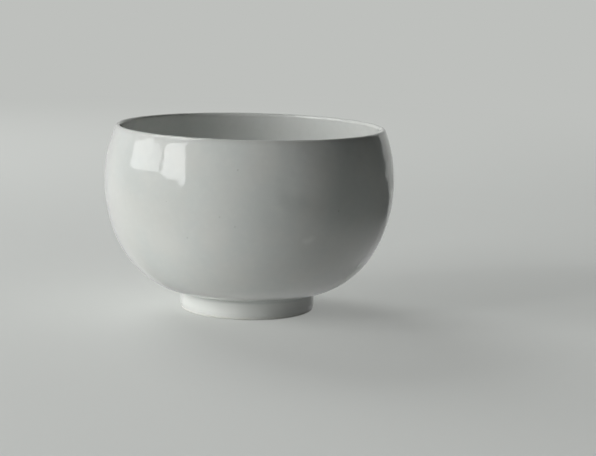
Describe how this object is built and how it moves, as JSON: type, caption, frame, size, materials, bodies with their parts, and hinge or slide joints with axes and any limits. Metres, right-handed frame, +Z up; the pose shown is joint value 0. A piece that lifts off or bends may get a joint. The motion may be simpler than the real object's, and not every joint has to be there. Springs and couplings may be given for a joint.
{
  "type": "porcelain bowl",
  "caption": "Round-bellied glazed porcelain bowl with an in-curved wall, a rounded plain lip and a low straight foot ring.",
  "frame": {"origin": "centre of the foot ring's contact face, on the surface that the bowl stands on", "axes": "+Z is up along the bowl's axis of revolution; the bowl is round, so +X and +Y are any two level directions"},
  "size_m": [0.145, 0.145, 0.0925],
  "materials": {
    "porcelain": "dense white porcelain under the glaze",
    "bare_foot": "bare fired porcelain, satin, worn smooth on the contact face",
    "slip": "matte fired slip",
    "glaze": "glossy pale grey-white glaze with a faint blue-green tint, thinner at the lip and pooled at the foot"
  },
  "bodies": {
    "root": {"bowl_body": "porcelain", "foot_ring": "bare_foot", "luting_slip": "slip", "outer_glaze": "glaze", "inner_glaze": "glaze", "well_glaze": "glaze"}
  },
  "joints": []
}
